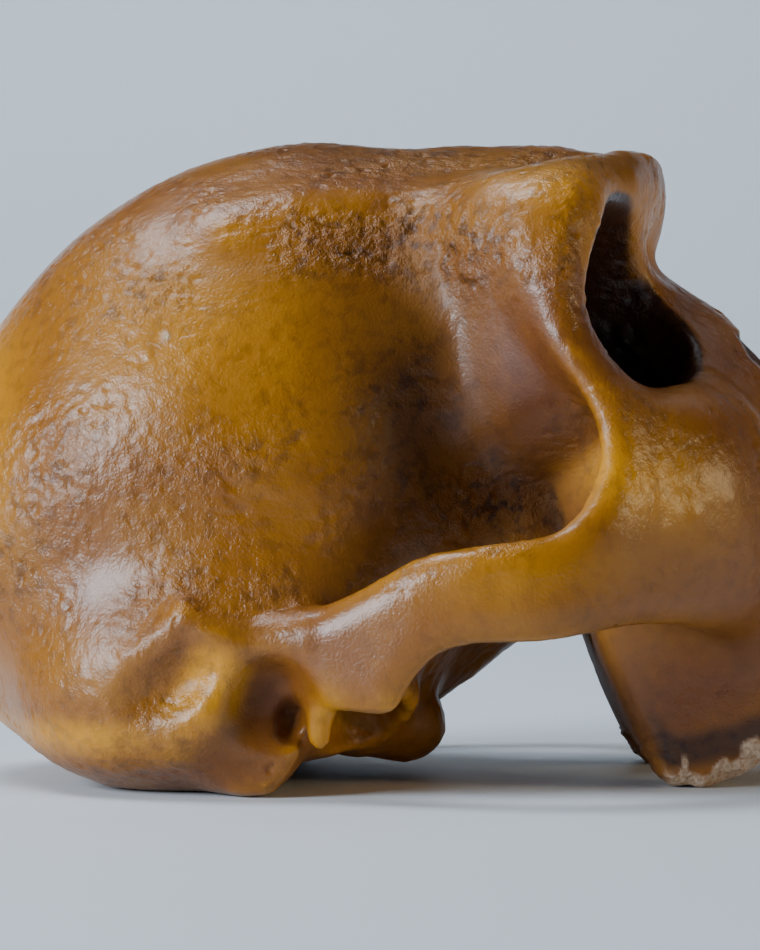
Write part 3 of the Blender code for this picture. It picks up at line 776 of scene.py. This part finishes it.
def net_faces(inside, number):
    """A square across each grid edge that the surface crosses."""
    faces = []
    for axis in range(3):
        order = (axis, (axis + 1) % 3, (axis + 2) % 3)
        side, cells = inside.transpose(order), number.transpose(order)
        low, high = side[:-1, 1:-1, 1:-1], side[1:, 1:-1, 1:-1]
        for change, turned in ((low & ~high, False), (high & ~low, True)):
            i, j, k = np.nonzero(change)
            ring = [cells[i, j, k], cells[i, j + 1, k], cells[i, j + 1, k + 1], cells[i, j, k + 1]]
            faces.append(np.stack(ring[::-1] if turned else ring, axis=1))
    return np.concatenate(faces)


net, cell_number = net_points(values < 0, CELL)
squares = net_faces(values < 0, cell_number)
print(len(net), "points and", len(squares), "squares")

# %% [markdown]
# ## A finer skin
#
# One round of subdivision turns every square into four and takes out the last traces of the grid. The points
# are then half a millimetre apart, close enough to carry pits and wrinkles as real geometry.

# %% Subdivide the net
net_mesh = bpy.data.meshes.new("net")
net_mesh.from_pydata((net * MM).tolist(), [], squares.tolist())
net_object = bpy.data.objects.new("net", net_mesh)
bpy.context.collection.objects.link(net_object)
finer = net_object.modifiers.new("finer", "SUBSURF")
finer.levels = finer.render_levels = 1
skin_mesh = bpy.data.meshes.new_from_object(net_object.evaluated_get(bpy.context.evaluated_depsgraph_get()))
skin_mesh.name = "skull_skin"
bpy.data.objects.remove(net_object)

points = np.empty(len(skin_mesh.vertices) * 3, np.float32)
skin_mesh.vertices.foreach_get("co", points)
points = points.reshape(-1, 3).astype(float) / MM
outward = np.empty(len(points) * 3, np.float32)
skin_mesh.vertex_normals.foreach_get("vector", outward)
outward = outward.reshape(-1, 3).astype(float)
print("skin of", len(skin_mesh.polygons), "faces")

# %% [markdown]
# ## Where the skin is sheltered
#
# The cast is painted darker where it is sheltered and lighter where it stands proud. Both follow from one
# measure: how much bone lies within a few millimetres of a point. It is half on a flat stretch, less on a
# ridge and more in a hollow. Blurring the filled grid at two widths gives it for fine and for broad forms.
# Following rays of light to each point would be truer, but far slower.

# %% Shelter, fine and broad


def blurred(grid, width):
    """Box blur over so many cells each way, run twice for a rounder fall-off."""
    for _ in range(2):
        for axis in range(3):
            pad = [(0, 0)] * 3
            pad[axis] = (width + 1, width)
            run = np.cumsum(np.pad(grid, pad, mode="edge"), axis=axis, dtype=np.float64)
            top = np.take(run, range(2 * width + 1, run.shape[axis]), axis=axis)
            low = np.take(run, range(run.shape[axis] - 2 * width - 1), axis=axis)
            grid = ((top - low) / (2 * width + 1)).astype(np.float32)
    return grid


def read_grid(grid, place):
    """Grid values at places counted in cells, blended between the eight nearest."""
    base = np.clip(np.floor(place).astype(int), 0, np.array(grid.shape) - 2)
    part = place - base
    total = np.zeros(len(place))
    for i, j, k in CORNERS:
        share = np.ones(len(place))
        for axis, step in enumerate((i, j, k)):
            share *= part[:, axis] if step else 1 - part[:, axis]
        total += share * grid[base[:, 0] + i, base[:, 1] + j, base[:, 2] + k]
    return total


FINE_CELLS = 1
BROAD_CELLS = 8

bone = np.clip(0.5 - values / CELL, 0, 1).astype(np.float32)
place_in_grid = (points - grid_corner) / CELL
fine_shelter = read_grid(blurred(bone, FINE_CELLS), place_in_grid)
broad_shelter = read_grid(blurred(bone, BROAD_CELLS), place_in_grid)
print("shelter, fine", fine_shelter.min().round(2), "to", fine_shelter.max().round(2),
      "and broad", broad_shelter.min().round(2), "to", broad_shelter.max().round(2))

# %% [markdown]
# ## Fine relief
#
# Old bone is smooth in some places and wormy in others: small pits and wrinkles a millimetre or two across,
# thick under the temporal line and at the back of the vault. They are moved into the mesh itself, so that
# they catch real light, and finer grain is left to the material. The height comes from noise drawn on coarse
# random grids, and listed soft spots say where it is strong. Carving the pits one by one would give
# the fossil's own, but nobody could carve thousands of them.

# %% Noise and spots
SEED = 7
random = np.random.default_rng(SEED)
HERE = (points[:, 0], np.abs(points[:, 1]), points[:, 2])


def noise(size, stretch=(1, 1, 1)):
    """Smooth random values between 0 and 1 whose lumps are about size mm across."""
    place = points / (np.array(stretch) * size)
    place = place - place.min(axis=0)
    shape = np.floor(place.max(axis=0)).astype(int) + 3
    return read_grid(random.random(shape).astype(np.float32), np.floor(place) + ramp(place % 1, 0, 1))


def spots(rows):
    """Soft spots on both side walls: x, z, half length, half height, tilt and strength."""
    total = np.zeros(len(points))
    for x, z, long, high, tilt, strength in rows:
        along, across = turn(HERE[0], HERE[2], (x, z), tilt)
        total = np.maximum(total, strength * np.exp(-(along / long) ** 2 - (across / high) ** 2))
    return total


def near(ribs, reach):
    """1 on a rib, fading to 0 at so many millimetres from it."""
    return 1 - ramp(strand(HERE, ribs), 0, reach)


print("random numbers start from seed", SEED)

# %% Where the bone is wormy
# Each spot: x, z, half length, half height, tilt in degrees and strength.
WORMY = (
    (-3, 90, 20, 5, 2, 1.0), (14, 87, 8, 6, -25, 1.0), (-29, 91, 7, 9, 60, 0.9), (-38, 81, 14, 4, 32, 1.0),
    (-51, 56, 9, 9, 0, 0.35), (20, 49, 12, 9, 10, 0.9), (-72, 66, 6, 15, -10, 0.5), (5, 102, 22, 4, 0, 0.55),
    (26, 104, 8, 2, 0, 0.6), (-45, 85, 12, 7, 30, 0.5), (-20, 52, 14, 6, -10, 0.45), (-44, 27, 12, 7, 0, 0.3),
    (-27, 33, 12, 3, 0, 0.7), (29, 86, 4, 8, 0, 0.6), (-62, 40, 12, 12, 0, 0.4), (-5, 74, 3, 9, 0, 0.3))
SMOOTH = (
    (24, 62, 8, 22, 15, 1.0), (34, 40, 26, 10, 5, 0.8), (-22, 26, 22, 5, 0, 0.6), (-62, 70, 6, 9, 0, 0.5),
    (50, 22, 16, 16, 0, 0.8), (-30, 62, 9, 9, 0, 0.5), (-1, 23, 14, 8, 10, 1.0), (14, 33, 18, 5, 25, 1.0),
    (-17, 12, 9, 9, 0, 0.7), (-49, 70, 11, 12, 0, 0.9), (-19, 75, 14, 14, 0, 0.4))
WORMY_GAIN = 1.2
WORMY_ELSEWHERE = 0.34

wormy = WORMY_GAIN * spots(WORMY) * ramp(noise(11), 0.2, 0.55)
wormy = np.clip(wormy + WORMY_ELSEWHERE * ramp(noise(7), 0.2, 0.7) * (1 - spots(SMOOTH)), 0, 1)
print("wormy over", round(float((wormy > 0.4).mean()) * 100), "percent of the points")

# %% [markdown]
# ## The worn jaw edge
#
# The jaw holds no teeth. Its edge is broken and rubbed down to a pale core, with a dark line of stain above
# the break, and one small chip on the vault shows the same core. How high each point lies above the edge is
# worked out from the jaw's side outline, and noise makes the limits of wear and stain uneven. A straight
# limit would look like tape.

# %% Height above the jaw's edge
JAW_EDGE = ((43, 8), (45, 3), (47, 0.2), (49, -0.6), (53, -0.4), (58, 1.8), (65, 5.4), (76, 12), (88, 21),
            (100, 31), (109, 40), (113, 46))
JAW_START = 43
FAR_ABOVE = 50
STAIN_LINE_HEIGHT = 6.8
CHIP = (-34.4, 73.4)
CHIP_RADIUS = 0.8

edge_x, edge_z = np.array(JAW_EDGE, float).T
above_edge = HERE[2] - np.interp(HERE[0], edge_x, edge_z)
above_edge[HERE[0] < JAW_START] = FAR_ABOVE
crumble = noise(2.4) - 0.5
jaw_broken = 1 - ramp(above_edge + 4 * (noise(5) - 0.5), 2, 5)
worn = 1 - ramp(above_edge + 3 * (noise(4) - 0.5) + 5 * (noise(1.3, (1, 1, 3)) - 0.5), 3.4, 4.4)
worn = worn * ramp(HERE[0], 46, 48)
stain_line = 1 - ramp(np.abs(above_edge - STAIN_LINE_HEIGHT + 3 * (noise(6) - 0.5)), 1.2, 4)
stain_line = stain_line * ramp(HERE[0], JAW_START, 47) * (1 - worn)
chip = np.exp(-(dist(points[:, 0] - CHIP[0], points[:, 2] - CHIP[1]) / CHIP_RADIUS) ** 4) * (points[:, 1] < 0)
worn = np.clip(worn + chip, 0, 1)
print("worn over", round(float((worn > 0.5).mean()) * 100, 1), "percent of the points")

# %% Relief in the mesh
SWELL_HEIGHT = 0.4
LUMP_HEIGHT = 0.42
GRAIN_HEIGHT = 0.5
WRINKLE_DEPTH = 0.55
ARCH_ROUGHNESS = 0.9
CHEEK_LUMP_HEIGHT = 0.5
CRUMBLE_HEIGHT = 1.1
CRUMBLE_GRAIN = 0.5
SOCKET_LUMP_HEIGHT = 2.4
NOSE_RIM_DEPTH = 0.9
PIT_DEPTH = 0.7
PIT_LENGTH = 8
UNDER_ARCH = ((1, 17, 12, 10, 20, 1.0),)
CHEEK_LUMPS = ((52, 45, 7, 9, 60, 1.0), (46, 54, 6, 7, 0, 0.7), (34, 82, 6, 9, 0, 0.4))
SOCKET_LUMPS = ((42, 72, 5, 3.5, -30, 1.0),)
NOSE_EDGE = [(59.7, 75.6), (60.9, 73.4), (62, 70.4), (64, 67.2), (66.4, 63), (69.6, 59.5), (90, 60), (90, 76)]
# Each pit by the ear: x, y, z and radius.
PITS = ((-14.9, 47, 13.6, 0.7), (-13.4, 47, 13.8, 0.6), (-17.6, 48, 4.6, 0.5), (-16.8, 48, 5.4, 0.4))

relief = SWELL_HEIGHT * (noise(12) + 0.2 * noise(5) - 0.6)
relief += wormy * (LUMP_HEIGHT * (noise(1.5) - 0.5) + GRAIN_HEIGHT * (noise(1) - 0.5))
relief -= WRINKLE_DEPTH * wormy * ramp(noise(1.4, (1.4, 1, 0.8)), 0.68, 0.9)
under_arch = spots(UNDER_ARCH) * ramp(47 - HERE[1], 0, 2)
relief += ARCH_ROUGHNESS * under_arch * (noise(1.6) - 0.5)
relief += CHEEK_LUMP_HEIGHT * spots(CHEEK_LUMPS) * (noise(2.8) - 0.5)
relief += jaw_broken * (CRUMBLE_HEIGHT * crumble + CRUMBLE_GRAIN * (noise(1.2) - 0.5))
in_socket = 1 - ramp(socket(HERE, 1.0), -0.4, 0.4)
in_socket = in_socket * (1 - ramp(HERE[0], 40.5, 42.5) * ramp(HERE[2], 82, 86))
relief += in_socket * spots(SOCKET_LUMPS) * SOCKET_LUMP_HEIGHT * (noise(2.0) - 0.5)
past_rim = ramp(-outline(HERE[0], HERE[2], NOSE_EDGE), -0.2, 1.0) * ramp(-HERE[1], -16, -12)
relief -= NOSE_RIM_DEPTH * past_rim
for x, y, z, radius in PITS:
    relief -= PIT_DEPTH * np.exp(-(dist(HERE[0] - x, HERE[2] - z) / radius) ** 2) * (HERE[1] > y - PIT_LENGTH)
points = points + outward * relief[:, None]
points = np.clip(points - (MIDDLE_X, 0, 0), cad_low, cad_high)
skin_mesh.vertices.foreach_set("co", (points * MM).astype(np.float32).ravel())
skin_mesh.update()
skin_mesh.shade_smooth()
print("relief from", relief.min().round(2), "to", relief.max().round(2), "mm")

# %% [markdown]
# ## Where each tint lies
#
# The cast is amber on its ridges and mid brown on its walls, and it is painted darker where it is sheltered.
# Painted shade, nearly black, lies in the sockets and the nose opening, and softer painted shade lies behind
# the jaw and in spots on the side wall and crown. Painted highlights in amber run along the temporal line,
# the outer rims of the sockets and the crest low at the back, with one on the spike behind the jaw joint.
# Some tints belong to a place, such as the yellow of the cheek. All of this is worked out for each point and
# stored in the mesh, where the material reads it as named attributes.
# A painted picture wrapped round the skull would do as well, but it would need an unwrapping.

# %% Tints by place
# Most of these spots are the cast's own amber; the one on the spike behind the jaw joint and the long one low
# at the back are painted highlights.
AMBER_AND_HIGHLIGHT_SPOTS = (
    (41, 50, 6, 10, 70, 1.0), (30, 99, 14, 5, 0, 0.75), (45, 96, 5, 9, 0, 0.7), (22, 36, 16, 5, 5, 0.35),
    (-30, 72, 20, 14, 0, 0.35), (-66, 60, 8, 20, 0, 0.6), (-8, 12, 2.5, 5, 0, 0.9), (-50, 20, 20, 8, 0, 0.15),
    (-48, 9.5, 14, 3, 0, 0.9), (-75, 62, 6, 24, 8, 0.5))
RUSSET_SPOTS = (
    (24, 66, 8, 20, 20, 1.0), (50, 16, 20, 12, 30, 0.9), (-8, 24, 12, 8, 0, 0.6), (-30, 6, 16, 7, 0, 0.7),
    (-17, 15, 7, 9, 0, 0.9), (-34, 24, 8, 5, 40, 0.7), (-42, 28, 10, 7, 0, 0.6), (20, 98, 16, 5, 0, 0.6),
    (58, 66, 5, 8, 0, 0.5))
# Painted shade: soft dark spots in the hollow behind the cheek, below the temporal line, on the brow and
# crown, and low by the ear.
PAINTED_SHADE_SPOTS = (
    (6, 60, 14, 26, 12, 0.95), (14, 52, 16, 12, 0, 0.8), (-6, 83, 18, 6, 0, 0.3), (-18, 14, 4, 7, 0, 0.35),
    (24, 58, 10, 18, 15, 0.45), (30, 103, 20, 4, 0, 0.55), (4, 106, 34, 5, 0, 0.5), (-26, 8, 16, 8, 0, 0.25))
# Outer rim of each socket, along which a painted highlight in amber runs.
SOCKET_RIM = ((35, 38, 95, 1), (32.5, 42.5, 90, 1), (31, 44, 80, 1), (33.5, 42, 72, 1), (39, 36, 67.5, 1))
# Where a spot of painted shade darkens the rear of the jaw.
JAW_BACK = ((39, 13, 16, 2.6, -66, 1.0),)
EAR_CANAL = (-14.5, 12.4)
EAR_CANAL_REACH = 5
PAINTED_SHADE_LIMIT = 52
RIB_HIGHLIGHT = 0.8
RIB_REACH = 4
LINE_HIGHLIGHT = 0.5
LINE_REACH = 5

# Amber tints by place, with painted highlights in amber along the crest low at the back, the socket rims and
# the temporal line.
amber = np.maximum(spots(AMBER_AND_HIGHLIGHT_SPOTS), RIB_HIGHLIGHT * near(NUCHAL_CREST, RIB_REACH))
amber = np.maximum(amber, RIB_HIGHLIGHT * near(SOCKET_RIM, RIB_REACH))
line = tuple((x, vault_side(x, z), z + 1, 1) for x, z in TEMPORAL_ROUTE)
amber = np.maximum(amber, LINE_HIGHLIGHT * near(line, LINE_REACH) * noise(8)) * (1 - in_socket)
russet = spots(RUSSET_SPOTS)
print("amber over", round(float((amber > 0.5).mean()) * 100), "percent and russet over",
      round(float((russet > 0.5).mean()) * 100), "percent of the points")

# %% Stain, painted shade and shine by shelter
SHELTER_DARKENING = 0.8
CANAL_CLEARED = 0.65
PAINTED_SHADE_STRENGTH = 0.8
LINE_STAIN = 0.85
# Strengths of the painted shade in the sockets, the nose opening and behind the jaw.
SOCKET_SHADE = 0.95
NOSE_SHADE = 0.8
JAW_BACK_SHADE = 0.6
ARCH_DULLNESS = 0.6

# Darker where the cast is sheltered, at a fine and at a broad scale.
fine_darkening = ramp(fine_shelter, 0.53, 0.8)
broad_darkening = ramp(broad_shelter, 0.56, 0.8)
# Painted shade in those spots, only within 52 mm of the midline.
painted_shade = spots(PAINTED_SHADE_SPOTS) * (HERE[1] < PAINTED_SHADE_LIMIT)
from_canal = dist(HERE[0] - EAR_CANAL[0], HERE[2] - EAR_CANAL[1]) / EAR_CANAL_REACH
in_canal = np.exp(-from_canal ** 4) * (HERE[1] > 30)
stain = np.clip(SHELTER_DARKENING * fine_darkening + broad_darkening, 0, 1) * (1 - CANAL_CLEARED * in_canal)
stain = stain + PAINTED_SHADE_STRENGTH * painted_shade + LINE_STAIN * stain_line
# Painted shade, nearly black, inside the sockets and past the rim of the nose opening, and a dark spot of
# painted shade on the rear of the jaw.
stain = np.clip(stain + SOCKET_SHADE * in_socket + NOSE_SHADE * past_rim, 0, 1)
stain = np.clip(stain + JAW_BACK_SHADE * spots(JAW_BACK), 0, 1)
rear_of_jaw = ramp(-outward[:, 0], 0.2, 0.5) * ramp(HERE[0], 24, 30) * ramp(-HERE[2], -60, -50)
sheltered = ramp(broad_shelter, 0.5, 0.62) * (1 - in_socket)
dull = np.clip(sheltered + rear_of_jaw + ARCH_DULLNESS * under_arch, 0, 1)
proud = 1 - ramp(fine_shelter, 0.36, 0.49)
print("stain over", round(float((stain > 0.5).mean()) * 100), "percent of the points")

# %% Measures for the material


def keep_measure(name, numbers):
    """Store a number for each point, for the material to read."""
    layer = skin_mesh.attributes.new(name, "FLOAT", "POINT")
    layer.data.foreach_set("value", np.clip(numbers, 0, 1).astype(np.float32))


for name, numbers in (("amber", amber), ("russet", russet), ("stain", stain), ("proud", proud),
                      ("wormy", wormy), ("worn", worn), ("dull", dull)):
    keep_measure(name, numbers)
    print(name, "covers", round(float((numbers > 0.5).mean()) * 100), "percent")

# %% Skin object
skin = bpy.data.objects.new("skull_skin", skin_mesh)
bpy.context.collection.objects.link(skin)
print("skin of", len(skin_mesh.vertices), "points with", len(skin_mesh.attributes), "layers of data")

# %% [markdown]
# ## Stained, varnished resin
#
# The colour is built in layers: a mottled brown, amber where the bone stands proud, the local tints and the
# painted highlights, and then a dark layer of stain, darkening by shelter and painted shade. A clear varnish
# lies over it, dull where the cast is sheltered and gone from the worn edge, so roughness and coat follow the
# same measures. The colours are more saturated than they look in the photograph, because a soft room light
# always lays a pale veil over a varnished thing. One painted material with these measures blends softly,
# where a material for each bone would show its borders.

# %% Colours of the cast
BODY = colour(0.23, 0.074, 0.006)
OCHRE = colour(0.33, 0.126, 0.008)
AMBER = colour(0.66, 0.275, 0.002)
RUSSET = colour(0.155, 0.045, 0.017)
# Dark brown of the stain line, of the darkening by shelter and of the painted shade.
STAIN_AND_SHADE = colour(0.040, 0.012, 0.004)
BARE = colour(0.62, 0.47, 0.34)

cast = Paint("varnished_cast")
place = cast.node("ShaderNodeTexCoord", {}, {}, out=3)


def stored(name):
    """A measure that the mesh keeps for each point."""
    return cast.node("ShaderNodeAttribute", {"attribute_name": name}, {}, out=2)


def grain(scale, detail, distortion=0.0):
    """Noise over the cast, with its scale in lumps per metre."""
    sockets = {"Vector": place, "Scale": scale, "Detail": detail, "Distortion": distortion}
    return cast.node("ShaderNodeTexNoise", {}, sockets)


print("body brown", BODY[:3], "and bare core", BARE[:3])

# %% Colour over the cast
mottle = cast.ramp(grain(45, 3, 0.4), (0.35, 0.0), (0.65, 1.0))
flecks = grain(420, 3)
dark_flecks = 1 - cast.ramp(flecks, (0.36, 0.0), (0.50, 1.0))
pale_flecks = cast.ramp(flecks, (0.58, 0.0), (0.74, 1.0))
tone = cast.mix(mottle * 0.8, BODY, OCHRE)
tone = cast.mix(stored("proud") * 0.6, tone, AMBER)
tone = cast.mix(stored("russet") * 0.85, tone, RUSSET)
# Amber tints and painted highlights.
tone = cast.mix(stored("amber") * 0.9, tone, AMBER)
tone = cast.mix(pale_flecks * 0.25, tone, OCHRE)
# The dark layer: the line of stain above the jaw's break, darkening by shelter and painted shade, with dark
# flecks in wormy places.
tone = cast.mix((stored("stain") + dark_flecks * (0.12 + stored("wormy") * 0.4)).clamped(), tone, STAIN_AND_SHADE)
streaks = cast.ramp(grain(700, 4, 1.5), (0.38, 0.35), (0.62, 1.0))
tone = cast.mix(stored("worn") * streaks, tone, BARE)
cast.set(Base_Color=tone)
print(len(cast.tree.nodes), "nodes make the colour")

# %% Varnish and fine grain
VARNISH_ROUGHNESS = 0.265
PATCHY_ROUGHNESS = 0.08
DULL_ROUGHNESS = 0.40
WORN_ROUGHNESS = 0.40
COAT = 0.15
COAT_ROUGHNESS = 0.25
VARNISH_IOR = 1.42
BUMP_STRENGTH = 0.8
BUMP_DISTANCE = 0.0008

patchy = cast.ramp(grain(90, 2), (0.3, 0.0), (0.7, 1.0))
rough = VARNISH_ROUGHNESS + PATCHY_ROUGHNESS * patchy
rough = (rough + DULL_ROUGHNESS * stored("dull") + WORN_ROUGHNESS * stored("worn")).clamped()
worm_grain = grain(650, 2, 0.6) * 0.6 + grain(1500, 3, 0.8) * 0.7
height = worm_grain * (stored("wormy") + stored("worn") * 0.6) + grain(1900, 2) * 0.12
bump_sockets = {"Strength": BUMP_STRENGTH, "Distance": BUMP_DISTANCE, "Height": height}
bump = cast.node("ShaderNodeBump", {}, bump_sockets)
cast.set(Roughness=rough, Coat_Weight=COAT * (1 - stored("worn")) * (1 - stored("dull")), Normal=bump)
cast.set(IOR=VARNISH_IOR, Coat_Roughness=COAT_ROUGHNESS)
skin_mesh.materials.append(cast.material)
print(len(cast.tree.nodes), "nodes with the varnish and its grain")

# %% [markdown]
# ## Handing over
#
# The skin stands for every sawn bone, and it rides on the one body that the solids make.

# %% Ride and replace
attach(skin, "root")
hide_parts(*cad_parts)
print("skin stands for", len(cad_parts), "bones")
